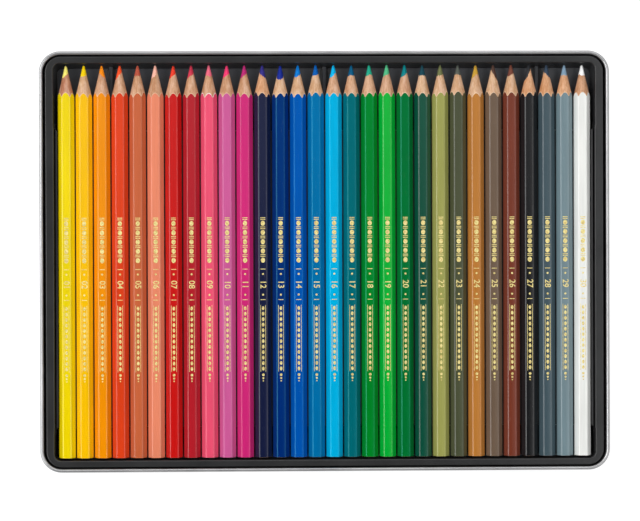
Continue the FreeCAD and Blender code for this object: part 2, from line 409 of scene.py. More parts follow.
@dataclass(frozen=True)
class Pigment:
    """The core: chalky bound pigment, mottled, with turned marks from the sharpener."""

    name: str
    colour: str
    dark: float = 0.84
    light: float = 1.12
    roughness: float = 0.42
    specular: float = 0.12
    relief: float = 0.05

    def material(self) -> bpy.types.Material:
        """Builds the finish.

        Returns:
            The core's material.
        """
        graph = Graph.finish("pigment_" + self.name)
        mottle = graph.noise((1.3, 0.7, 1.3), 3.0, 0.6)
        speck = graph.noise((7.0, 5.0, 7.0), 2.0)
        blade = graph.noise((0.1, 2.6, 0.1), 2.0)
        grit = (mottle * 0.6 + speck * 0.4).rise(0.3, 0.7)
        tone = graph.blend(grit, linear(self.colour, self.dark), linear(self.colour, self.light))
        return graph.surface({
            "Base Color": tone,
            "Roughness": self.roughness + speck * 0.22,
            "Normal": graph.bump(speck * 0.5 + blade * 0.5, self.relief),
            "Specular IOR Level": self.specular,
        })


@dataclass(frozen=True)
class GoldFoil:
    """Hot-stamped foil: pale matte gold, mottled where the stamp pressed unevenly."""

    pale: Colour = (0.93, 0.81, 0.34, 1.0)
    deep: Colour = (0.66, 0.50, 0.16, 1.0)
    metal: float = 0.3
    roughness: float = 0.34
    relief: float = 0.006

    def material(self) -> bpy.types.Material:
        """Builds the finish.

        Returns:
            The foil's material.
        """
        graph = Graph.finish("gold_foil")
        press = graph.noise((1.6, 1.6, 1.6), 3.0, 0.6)
        fine = graph.noise((9.0, 9.0, 9.0), 2.0)
        return graph.surface({
            "Base Color": graph.blend(press.rise(0.36, 0.62), self.deep, self.pale),
            "Metallic": self.metal,
            "Roughness": self.roughness + fine * 0.18,
            "Normal": graph.bump(fine, self.relief),
        })


@dataclass(frozen=True)
class Tinplate:
    """Rolled tinplate: bright metal with fine rolling lines, haze and a few scratches."""

    pale: Colour = (0.51, 0.51, 0.515, 1.0)
    deep: Colour = (0.42, 0.422, 0.43, 1.0)
    roughness: float = 0.3
    relief: float = 0.001

    def material(self) -> bpy.types.Material:
        """Builds the finish.

        Returns:
            The tin's material.
        """
        graph = Graph.finish("tinplate")
        rolled = graph.noise((0.05, 1.2, 1.2), 3.0, 0.6)
        haze = graph.noise((0.06, 0.06, 0.06), 3.0)
        scratch = graph.noise((0.3, 2.0, 2.0), 2.0).rise(0.72, 0.80)
        tone = graph.blend((haze * 0.9 + rolled * 0.1).rise(0.3, 0.7), self.deep, self.pale)
        return graph.surface({
            "Base Color": tone,
            "Metallic": 1.0,
            "Roughness": self.roughness + haze * 0.12 + scratch * 0.08,
            "Normal": graph.bump(rolled * 0.6 - scratch * 0.4, self.relief),
        })


@dataclass(frozen=True)
class BlackPlastic:
    """Vacuum-formed sheet: satin black with a fine grain, haze and lint, and low level floors
    painted paler as painted light.

    Attributes:
        pale: Colour where the sheet is lightest.
        deep: Colour where it is darkest.
        painted_floor_light: Paler colour of low level places, painted light for what they catch
            from above.
        dust: Colour of the lint.
        low: Heights between which the painted light fades out, upwards.
        level: Upward parts of the normal between which the painted light fades in.
        roughness: The smoothest the sheet gets.
        relief: Height of the grain.
    """

    pale: Colour = (0.0200, 0.0204, 0.0214, 1.0)
    deep: Colour = (0.0140, 0.0143, 0.0152, 1.0)
    painted_floor_light: Colour = (0.060, 0.064, 0.074, 1.0)
    dust: Colour = (0.30, 0.29, 0.28, 1.0)
    low: tuple[float, float] = (4.5, 4.9)
    level: tuple[float, float] = (0.75, 0.97)
    roughness: float = 0.22
    relief: float = 0.012

    def material(self) -> bpy.types.Material:
        """Builds the finish.

        Returns:
            The sheet's material.
        """
        graph = Graph.finish("black_plastic")
        grain = graph.noise((6.0, 6.0, 6.0), 2.0)
        haze = graph.noise((0.05, 0.05, 0.05), 3.0)
        lint = graph.noise((3.2, 3.2, 3.2), 2.0).rise(0.74, 0.82)
        # Painted light: low floors that face up are painted paler, standing in for light they catch
        # from above
        low = 1.0 - graph.split(graph.millimetres())[2].rise(*self.low)
        normal = graph.node("ShaderNodeTexCoord").outputs["Normal"]
        level = graph.split(normal)[2].rise(*self.level)
        tone = graph.blend(haze.rise(0.3, 0.7), self.deep, self.pale)
        tone = graph.blend(low * level, tone, self.painted_floor_light)
        tone = graph.blend(lint * 0.25, tone, self.dust)
        return graph.surface({
            "Base Color": tone,
            "Roughness": self.roughness + haze * 0.09 + grain * 0.05,
            "Normal": graph.bump(grain, self.relief),
        })


@dataclass(frozen=True)
class PencilColour:
    """What one pencil is painted with and how its core sits.

    Attributes:
        name: The colour's name, as the CAD node has it.
        lacquer: Hex code of the enamel.
        pigment: Hex code of the core.
        timber: The tone of its wood.
        lean: How far the core lies towards -X.
        lift: How far the core lies towards +Z.
        primed: Whether a white primer shows under the lacquer's edge.
        gloss: How the enamel tints what it reflects.
    """

    name: str
    lacquer: str
    pigment: str
    timber: Timber
    lean: float = 0.0
    lift: float = 0.0
    primed: bool = False
    gloss: Gloss = Gloss.CLEAR


PENCIL_COLOURS: tuple[PencilColour, ...] = (
    PencilColour("lemon_yellow", "EBD101", "F8EB76", Timber.ROSE, 0.35),
    PencilColour("golden_yellow", "F4BC00", "F8D300", Timber.PALE, 0.10),
    PencilColour("orange", "ED8E00", "FC8F10", Timber.PINK, -0.25),
    PencilColour("vermilion", "D83E16", "F75528", Timber.PINK, 0.40),
    PencilColour("terracotta", "C3613A", "BA5641", Timber.TAN),
    PencilColour("salmon", "E38464", "FBBAA6", Timber.TAN, 0.40),
    PencilColour("scarlet", "C31210", "EC402C", Timber.TAN, 0.25),
    PencilColour("carmine", "AE1A26", "CC374E", Timber.TAN, 0.25),
    PencilColour("rose_pink", "E74F6F", "ED6B83", Timber.TAN, primed=True),
    PencilColour("mauve", "C75893", "F43D72", Timber.TAN, 0.25),
    PencilColour("magenta", "CB2573", "BB2973", Timber.TAN, 0.30),
    PencilColour("dark_violet", "12193A", "373188", Timber.HONEY, -0.20),
    PencilColour("navy_blue", "012970", "162C92", Timber.PALE, 0.0, 0.40, gloss=Gloss.COLD),
    PencilColour("blue", "0051AB", "0079D2", Timber.PALE, 0.20, gloss=Gloss.COLD),
    PencilColour("cobalt", "006AA2", "005EB3", Timber.PALE, 0.10, gloss=Gloss.COLD),
    PencilColour("sky_blue", "00AADA", "00B8F0", Timber.PINK, 0.30, gloss=Gloss.COLD),
    PencilColour("petrol", "00646E", "005A82", Timber.PINK, gloss=Gloss.COLD),
    PencilColour("green", "008022", "1FAC8C", Timber.PINK, gloss=Gloss.COLD),
    PencilColour("bright_green", "00AC34", "54BC86", Timber.PINK, 0.25),
    PencilColour("emerald", "006C2B", "008288", Timber.PINK, 0.25, gloss=Gloss.COLD),
    PencilColour("fir_green", "074C39", "184855", Timber.PALE),
    PencilColour("light_olive", "999A52", "6E744A", Timber.PALE),
    PencilColour("dark_olive", "484D36", "585D56", Timber.PALE),
    PencilColour("ochre", "B77732", "CB9F39", Timber.PALE, 0.30),
    PencilColour("taupe", "6B5848", "553D34", Timber.PALE, -0.55),
    PencilColour("maroon", "743524", "794638", Timber.PALE, 0.15),
    PencilColour("black", "17181A", "303236", Timber.HONEY, 0.60),
    PencilColour("slate", "41535B", "374759", Timber.HONEY, -0.35),
    PencilColour("steel_grey", "71868D", "829EB4", Timber.HONEY),
    PencilColour("white", "EAEBE7", "FAFAFA", Timber.TAN),
)


def turned(degrees: float, axis: str) -> Matrix:
    """A turn about the X, Y or Z axis."""
    return Matrix.Rotation(math.radians(degrees), 4, axis)


def facing(back: Vector, upward: Vector) -> Matrix:
    """The turn of a light or a camera.

    Args:
        back: Unit vector away from what it faces.
        upward: Roughly where its top points.

    Returns:
        The turn as a matrix of four rows.
    """
    side = upward.cross(back).normalized()
    return Matrix((side, back.cross(side), back)).transposed().to_4x4()


def linked(name: str, data: bpy.types.ID) -> bpy.types.Object:
    """Puts a new object into the scene.

    Args:
        name: The object's name.
        data: Its mesh, light, camera or text.

    Returns:
        The object.
    """
    made = bpy.data.objects.new(name, data)
    bpy.context.scene.collection.objects.link(made)
    return made


class Join(Enum):
    """How two closed shapes are put together."""

    CUT = "DIFFERENCE"
    COMMON = "INTERSECT"
    FUSE = "UNION"


class Sketch:
    """A mesh in millimetres that is drawn by points and edges and then carried into faces."""

    def __init__(self) -> None:
        """Starts empty."""
        self.mesh: BMesh = bmesh.new()

    def point(self, place: Place) -> BMVert:
        """Sets a first point."""
        return self.mesh.verts.new(place)

    def run(self, start: BMVert, place: Place) -> BMVert:
        """Draws a straight edge.

        Args:
            start: The point that it starts from.
            place: Where it ends.

        Returns:
            The new end point.
        """
        made = bmesh.ops.extrude_vert_indiv(self.mesh, verts=[start])["verts"][0]
        made.co = place
        return made

    def arc(self, start: BMVert, centre: Place, axis: Place, angle: float, steps: int) -> BMVert:
        """Draws an arc from a point.

        Args:
            start: The point that turns.
            centre: A point of the axis.
            axis: The axis's direction.
            angle: Degrees, right-handed.
            steps: Edges in the arc.

        Returns:
            The arc's far end.
        """
        made = bmesh.ops.spin(
            self.mesh, geom=[start], cent=centre, axis=axis, angle=math.radians(angle), steps=steps,
        )
        return [g for g in made["geom_last"] if isinstance(g, BMVert)][0]

    def rounded_loop(self, low: Place, high: Place, radius: float, steps: int) -> list[BMEdge]:
        """Draws a level rounded rectangle.

        Args:
            low: Its lowest corner, whose height the loop has.
            high: Its highest corner.
            radius: Radius of its corners.
            steps: Edges in each corner.

        Returns:
            The loop's edges.
        """
        before = set(self.mesh.edges)
        (x0, y0, z), (x1, y1, _) = low, high
        spot = self.point((x1, y0 + radius, z))
        corners = (
            ((x1, y1 - radius), (x1 - radius, y1 - radius)),
            ((x0 + radius, y1), (x0 + radius, y1 - radius)),
            ((x0, y0 + radius), (x0 + radius, y0 + radius)),
            ((x1 - radius, y0), (x1 - radius, y0 + radius)),
        )
        for reach, centre in corners:
            spot = self.run(spot, (*reach, z))
            spot = self.arc(spot, (*centre, z), UP, 90.0, steps)
        fresh = [e for e in self.mesh.edges if e not in before]
        verts = list(dict.fromkeys(v for e in fresh for v in e.verts))
        bmesh.ops.remove_doubles(self.mesh, verts=verts, dist=WELD)
        return [e for e in self.mesh.edges if e not in before]

    def fill(self, edges: Sequence[BMEdge]) -> list[BMFace]:
        """Closes a loop of edges with a face."""
        return bmesh.ops.contextual_create(self.mesh, geom=list(edges))["faces"]

    def raise_faces(self, faces: Sequence[BMFace], offset: Place) -> list[BMFace]:
        """Extrudes faces.

        Args:
            faces: What is extruded.
            offset: How far, along each axis.

        Returns:
            The moved faces.
        """
        made = bmesh.ops.extrude_face_region(self.mesh, geom=list(faces))["geom"]
        verts = [g for g in made if isinstance(g, BMVert)]
        bmesh.ops.translate(self.mesh, verts=verts, vec=offset)
        return [g for g in made if isinstance(g, BMFace)]

    def sweep(self, edges: Sequence[BMEdge], offset: Place) -> list[BMEdge]:
        """Carries edges straight into faces.

        Args:
            edges: What is carried.
            offset: How far, along each axis.

        Returns:
            The far end's edges.
        """
        made = bmesh.ops.extrude_edge_only(self.mesh, edges=list(edges))["geom"]
        verts = [g for g in made if isinstance(g, BMVert)]
        bmesh.ops.translate(self.mesh, verts=verts, vec=offset)
        fresh = set(verts)
        return [g for g in made if isinstance(g, BMEdge) and fresh.issuperset(g.verts)]

    def turn(
        self, edges: Sequence[BMEdge], centre: Place, axis: Place, angle: float, steps: int,
    ) -> list[BMEdge]:
        """Carries edges round an axis into faces.

        Args:
            edges: What turns.
            centre: A point of the axis.
            axis: The axis's direction.
            angle: Degrees, right-handed; a full turn closes on itself.
            steps: Faces along the turn.

        Returns:
            The far end's edges.
        """
        verts = list(dict.fromkeys(v for e in edges for v in e.verts))
        made = bmesh.ops.spin(
            self.mesh, geom=[*edges, *verts], cent=centre, axis=axis,
            angle=math.radians(angle), steps=steps, use_merge=abs(angle) >= 360.0,
        )
        return [g for g in made["geom_last"] if isinstance(g, BMEdge)]

    def bevel(self, edges: Sequence[BMEdge], offset: float, segments: int) -> None:
        """Rounds edges.

        Args:
            edges: What is rounded.
            offset: How far the rounding reaches from an edge.
            segments: Faces across the rounding.
        """
        bmesh.ops.bevel(
            self.mesh, geom=list(edges), offset=offset, offset_type="OFFSET", affect="EDGES",
            segments=segments, profile=0.5, material=-1, clamp_overlap=False,
        )

    def move(self, matrix: Matrix) -> None:
        """Moves everything that is drawn."""
        bmesh.ops.transform(self.mesh, matrix=matrix, verts=self.mesh.verts[:])

    def weld(self, reach: float) -> None:
        """Merges the points that lie within reach of each other."""
        bmesh.ops.remove_doubles(self.mesh, verts=self.mesh.verts[:], dist=reach)

    def close(self) -> "Sketch":
        """Merges doubled points and turns every face outwards.

        Returns:
            This sketch.
        """
        self.weld(WELD)
        bmesh.ops.recalc_face_normals(self.mesh, faces=self.mesh.faces[:])
        return self

    def paint(self, finish: int) -> "Sketch":
        """Gives every face one of the piece's finishes.

        Args:
            finish: The finish's place in the piece's list.

        Returns:
            This sketch.
        """
        for face in self.mesh.faces:
            face.material_index = finish
        return self

    def join(self, tool: "Sketch", how: Join) -> "Sketch":
        """Puts another closed shape together with this one.

        Args:
            tool: The other shape, which is used up.
            how: Cut, common part or fusion.

        Returns:
            This sketch with the result in it.
        """
        scratch = []
        for source in (self, tool):
            mesh = bpy.data.meshes.new("scratch")
            source.mesh.to_mesh(mesh)
            for _ in range(2):
                mesh.materials.append(None)
            scratch.append(linked("scratch", mesh))
        step = scratch[0].modifiers.new("join", "BOOLEAN")
        step.operation = how.value
        step.solver = "EXACT"
        step.material_mode = "INDEX"
        step.object = scratch[1]
        graph = bpy.context.evaluated_depsgraph_get()
        result = bpy.data.meshes.new_from_object(scratch[0].evaluated_get(graph))
        self.mesh.clear()
        self.mesh.from_mesh(result)
        tool.mesh.free()
        for made in scratch:
            bpy.data.meshes.remove(made.data)
        bpy.data.meshes.remove(result)
        return self

    def piece(
        self, name: str, finishes: Sequence[bpy.types.Material], sharp: float = 32.0,
    ) -> bpy.types.Object:
        """Makes the finished object.

        Args:
            name: The piece's name.
            finishes: Its materials, in the order of the faces' finishes.
            sharp: Degrees from which an edge stays sharp.

        Returns:
            The object, at the origin, with its place in its mesh.
        """
        bmesh.ops.scale(self.mesh, vec=(MM, MM, MM), verts=self.mesh.verts[:])
        self.mesh.normal_update()
        limit = math.radians(sharp)
        for face in self.mesh.faces:
            face.smooth = True
        for edge in self.mesh.edges:
            sides = {f.material_index for f in edge.link_faces}
            edge.smooth = len(sides) < 2 and edge.calc_face_angle(0.0) < limit
        mesh = bpy.data.meshes.new(name)
        self.mesh.to_mesh(mesh)
        self.mesh.free()
        for finish in finishes:
            mesh.materials.append(finish)
        return linked(name, mesh)


def even_normals(piece: bpy.types.Object) -> None:
    """Lets large flat faces lead the shading beside their rounded edges.

    Args:
        piece: The finished object.
    """
    step = piece.modifiers.new("even_normals", "WEIGHTED_NORMAL")
    step.weight = 100
    step.keep_sharp = True


def thicken(piece: bpy.types.Object, thickness: float) -> None:
    """Gives a drawn sheet its thickness behind the drawn side.

    Args:
        piece: The finished object.
        thickness: Millimetres of sheet.
    """
    step = piece.modifiers.new("sheet", "SOLIDIFY")
    step.thickness = thickness * MM
    step.offset = -1.0


@dataclass
class TinTray:
    """The drawn tin: floor, bottom bend, upright wall and rolled rim, all one sheet."""

    node: str = "tin_tray"
    body: str = "tin"
    sheet: float = 0.3
    bend: float = 1.7
    curl: float = 0.8
    curl_turn: float = 290.0
    corner: float = 7.9
    bend_steps: int = 6
    curl_steps: int = 22
    corner_steps: int = 18
    sharp: float = 50.0

    def build(self) -> None:
        """Draws the sheet's inner side, carries it round the tin and dresses it."""
        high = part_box(self.node)[1] / MM
        half_x = high.x - 2.0 * self.curl
        half_y = high.y - 2.0 * self.curl
        run_x = half_x - self.corner
        run_y = half_y - self.corner
        bend = (half_x - self.bend, -run_y, self.sheet + self.bend)
        curl = (half_x + self.curl, -run_y, high.z - self.curl)
        sketch = Sketch()
        spot = sketch.point((half_x - self.bend, -run_y, self.sheet))
        spot = sketch.arc(spot, bend, ALONG, -90.0, self.bend_steps)
        spot = sketch.run(spot, (half_x, -run_y, high.z - self.curl))
        sketch.arc(spot, curl, ALONG, self.curl_turn, self.curl_steps)
        front = sketch.mesh.edges[:]
        steps = (
            ((0.0, 2.0 * run_y, 0.0), (run_x, run_y, 0.0)),
            ((-2.0 * run_x, 0.0, 0.0), (-run_x, run_y, 0.0)),
            ((0.0, -2.0 * run_y, 0.0), (-run_x, -run_y, 0.0)),
            ((2.0 * run_x, 0.0, 0.0), (run_x, -run_y, 0.0)),
        )
        for straight, centre in steps:
            front = sketch.sweep(front, straight)
            front = sketch.turn(front, centre, UP, 90.0, self.corner_steps)
        sketch.weld(NEAR)
        low = self.sheet + NEAR
        open_edges = [e for e in sketch.mesh.edges if e.is_boundary]
        floor = sketch.fill([e for e in open_edges if max(v.co.z for v in e.verts) < low])
        sketch.close()
        if floor[0].normal.z < 0.0:
            bmesh.ops.reverse_faces(sketch.mesh, faces=sketch.mesh.faces[:])
        piece = sketch.piece("tin_pressing", [Tinplate().material()], self.sharp)
        thicken(piece, self.sheet)
        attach(piece, self.body)
        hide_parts(self.node)
        LOG.info("%s: drawn sheet with a rolled rim", piece.name)


@dataclass
class PencilInsert:
    """The formed sheet: flange with a turned-down lip, two wells, grooves, side strips and ribs."""

    node: str = "pencil_insert"
    body: str = "insert"
    sheet: float = 0.42
    flange_corner: float = 6.97
    flange_end: float = 3.045
    lip: float = 2.0
    side_room: float = 1.62
    side_draft: float = 0.15
    strip_drop: float = 2.0
    strip_gap: float = 0.2
    strip_width: float = 0.85
    ridge_z: float = 7.19
    groove_clearance: float = 0.3
    well_relief: float = 0.25
    well_draft: float = 1.2
    well_floor: float = 0.8
    well_corner: float = 3.0
    floor_corner: float = 2.2
    tip_well: float = 30.7
    tail_well: float = 15.3
    step_draft: float = 1.2
    tip_draft: float = 1.8
    tail_draft: float = 0.2
    rib_gaps: tuple[int, ...] = (3, 15, 27)
    rib_z: float = 4.2
    rib_top: float = 1.5
    rib_foot: float = 3.6
    brim_edge: float = 0.6
    edge: float = 0.15
    edge_segments: int = 4
    edge_angle: float = 24.0
    flat_angle: float = 0.5
    sliver: float = 0.1
    overrun: float = 1.0
    rib_overrun: float = 2.0
    corner_steps: int = 10
    well_steps: int = 8
    sharp: float = 40.0
    high: Vector = field(init=False)
    pocket_half: float = field(init=False)
    row_half: float = field(init=False)

    def __post_init__(self) -> None:
        """Takes the pocket's plan from the frame and from the row of pencils."""
        self.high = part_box(self.node)[1] / MM
        self.pocket_half = self.high.y - self.flange_end
        self.row_half = (PENCIL_COUNT - 1) / 2.0 * PITCH + CORNER_REACH

    def build(self) -> None:
        """Cuts the pocket from a block, keeps its skin, rounds it and dresses it."""
        x, y, z = self.high
        sketch = Sketch()
        outline = sketch.rounded_loop((-x, -y, z), (x, y, z), self.flange_corner, self.corner_steps)
        sketch.fill(outline)
        skirt = sketch.sweep(outline, (0.0, 0.0, -self.lip))
        sketch.fill(sketch.sweep(skirt, (0.0, 0.0, -2.0 * z)))
        sketch.close()
        tip_step = self.pocket_half - self.tip_well
        tail_step = self.tail_well - self.pocket_half
        tip_well = self._well(tip_step, self.pocket_half, self.step_draft, self.tip_draft)
        for gap in self.rib_gaps:
            tip_well.join(self._rib((gap - PENCIL_COUNT / 2.0) * PITCH, tip_step), Join.CUT)
        tail_well = self._well(-self.pocket_half, tail_step, self.tail_draft, self.step_draft)
        pocket = self._bed(tail_step, tip_step).join(tip_well, Join.FUSE).join(tail_well, Join.FUSE)
        sketch.join(pocket, Join.CUT)
        self._skin(sketch, z - self.lip)
        piece = sketch.piece("insert_sheet", [BlackPlastic().material()], self.sharp)
        thicken(piece, self.sheet)
        even_normals(piece)
        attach(piece, self.body)
        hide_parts(self.node)
        LOG.info("%s: formed sheet, %d faces", piece.name, len(piece.data.polygons))

    def _bed(self, tail_step: float, tip_step: float) -> Sketch:
        """The open space over the grooves and the two side strips.

        Args:
            tail_step: Where the bed ends at the tail well.
            tip_step: Where the bed ends at the tip well.

        Returns:
            The closed shape, reaching into both wells and above the flange.
        """
        reach = self.step_draft + self.well_corner
        near = tail_step - reach
        strip_z = FLANGE_Z - self.strip_drop
        wall = self.row_half + self.side_room
        inner = self.row_half + self.strip_gap
        outer = inner + self.strip_width
        lean = self.side_draft / (FLANGE_Z - self.ridge_z)
        side = [
            (wall + lean * self.overrun, FLANGE_Z + self.overrun),
            (wall - self.side_draft, self.ridge_z),
            (outer, self.ridge_z), (outer, strip_z), (inner, strip_z), (inner, self.ridge_z),
        ]
        sketch = Sketch()
        spot = start = sketch.point((-side[0][0], near, side[0][1]))
        for x, z in side[1:]:
            spot = sketch.run(spot, (-x, near, z))
        ridge, floor = self.ridge_z, GROOVE_Z
        for index in range(PENCIL_COUNT):
            middle = (index - (PENCIL_COUNT - 1) / 2.0) * PITCH
            for way, z in ((-1.0, ridge), (-1.0, floor), (1.0, floor), (1.0, ridge)):
                half = (APOTHEM + self.groove_clearance + (z - AXIS_Z) / 2.0) / COS30
                spot = sketch.run(spot, (middle + way * half, near, z))
        for x, z in reversed(side):
            spot = sketch.run(spot, (x, near, z))
        sketch.mesh.edges.new((spot, start))
        face = sketch.fill(sketch.mesh.edges[:])
        sketch.raise_faces(face, (0.0, tip_step + reach - near, 0.0))
        return sketch.close()

    def _well(self, y0: float, y1: float, draft0: float, draft1: float) -> Sketch:
        """The open space of a well.

        Args:
            y0: Its lower end at the flange.
            y1: Its upper end at the flange.
            draft0: How far the wall at y0 leans in down to the floor.
            draft1: How far the wall at y1 leans in.

        Returns:
            The closed shape, taller than the flange.
        """
        top_z = FLANGE_Z + self.overrun
        spill = self.overrun / (FLANGE_Z - self.well_floor)
        brim_x = self.row_half + self.side_room + self.well_relief
        sketch = Sketch()
        for shrink, z, corner in (
            (-spill, top_z, self.well_corner), (1.0, self.well_floor, self.floor_corner),
        ):
            x = brim_x - self.well_draft * shrink
            low, high = (-x, y0 + draft0 * shrink, z), (x, y1 - draft1 * shrink, z)
            sketch.rounded_loop(low, high, corner, self.well_steps)
        loops = sketch.mesh.edges[:]
        bmesh.ops.bridge_loops(sketch.mesh, edges=loops)
        for level in (top_z, self.well_floor):
            sketch.fill([e for e in loops if all(abs(v.co.z - level) < NEAR for v in e.verts)])
        return sketch.close()

    def _rib(self, x: float, tip_step: float) -> Sketch:
        """One stiffening rib of the tip well.

        Args:
            x: Its middle plane.
            tip_step: Where the bed ends at the tip well.

        Returns:
            The closed bar, through both end walls of the well and its floor.
        """
        top = self.rib_top / 2.0
        slope = (self.rib_foot - self.rib_top) / 2.0 / (self.rib_z - self.well_floor)
        foot_z = self.well_floor - self.overrun
        foot = top + slope * (self.rib_z - foot_z)
        near = tip_step - self.rib_overrun
        sketch = Sketch()
        spot = start = sketch.point((x - foot, near, foot_z))
        for aside, z in ((foot, foot_z), (top, self.rib_z), (-top, self.rib_z)):
            spot = sketch.run(spot, (x + aside, near, z))
        sketch.mesh.edges.new((spot, start))
        face = sketch.fill(sketch.mesh.edges[:])
        sketch.raise_faces(face, (0.0, self.pocket_half + self.rib_overrun - near, 0.0))
        return sketch.close()

    def _skin(self, sketch: Sketch, lip_z: float) -> None:
        """Keeps the formed surface of the block and rounds its edges.

        Args:
            sketch: The block with the pocket in it.
            lip_z: How far down the flange's lip reaches.
        """
        mesh = sketch.mesh
        sketch.weld(NEAR)
        spans = {f: [v.co.z for v in f.verts] for f in mesh.faces}
        below = [f for f, z in spans.items() if max(z) < lip_z + NEAR and min(z) < -self.overrun]
        bmesh.ops.delete(mesh, geom=below, context="FACES")
        flat = math.radians(self.flat_angle)
        bmesh.ops.dissolve_limit(
            mesh, angle_limit=flat, verts=mesh.verts[:], edges=mesh.edges[:],
        )
        bmesh.ops.dissolve_degenerate(mesh, dist=self.sliver, edges=mesh.edges[:])
        brim = FLANGE_Z - self.brim_edge / 2.0
        top = FLANGE_Z + self.overrun
        for low, high, offset in ((brim, top, self.brim_edge), (-brim, brim, self.edge)):
            sharp = [
                e for e in mesh.edges
                if len(e.link_faces) == 2 and e.calc_face_angle(0.0) > math.radians(self.edge_angle)
                and min(v.co.z for v in e.verts) > low and max(v.co.z for v in e.verts) < high
            ]
            sketch.bevel(sharp, offset, self.edge_segments)


BAR = 4


@dataclass(frozen=True)
class Stamp:
    """One flat figure of the foil print.

    Attributes:
        sides: BAR for a bar, more for a bead.
        along: Its middle, from the print's start towards the tail.
        wide: Its size across the facet.
        deep: Its size along the pencil.
        aside: How far it lies off the middle line.
    """

    sides: int
    along: float
    wide: float
    deep: float
    aside: float = 0.0


@dataclass(frozen=True)
class PrintRun:
    """Figures that the print repeats.

    Attributes:
        count: How often.
        step: How far apart along the pencil.
        stamps: The figures at the run's start.
    """

    count: int
    step: float
    stamps: tuple[Stamp, ...]


# Beads and reels, the dividers and dots round the number, the ruled beads and the closing dots
PRINT_RUNS: tuple[PrintRun, ...] = (
    PrintRun(5, 4.1, (
        Stamp(BAR, 0.4, 2.2, 0.36), Stamp(BAR, 1.15, 2.2, 0.36), Stamp(20, 2.85, 1.9, 2.3),
    )),
    PrintRun(2, 13.6, (Stamp(BAR, 23.2, 2.3, 0.3),)),
    PrintRun(2, 9.2, (Stamp(12, 25.4, 0.9, 0.9),)),
    PrintRun(1, 0.0, (Stamp(BAR, 54.0, 0.2, 29.6, -1.1), Stamp(BAR, 54.0, 0.2, 29.6, 1.1))),
    PrintRun(12, 2.44, (Stamp(16, 40.6, 1.15, 1.75),)),
    PrintRun(1, 0.0, (
        Stamp(14, 70.2, 1.2, 1.2), Stamp(14, 71.7, 0.9, 0.9), Stamp(14, 72.9, 0.6, 0.6),
    )),
)


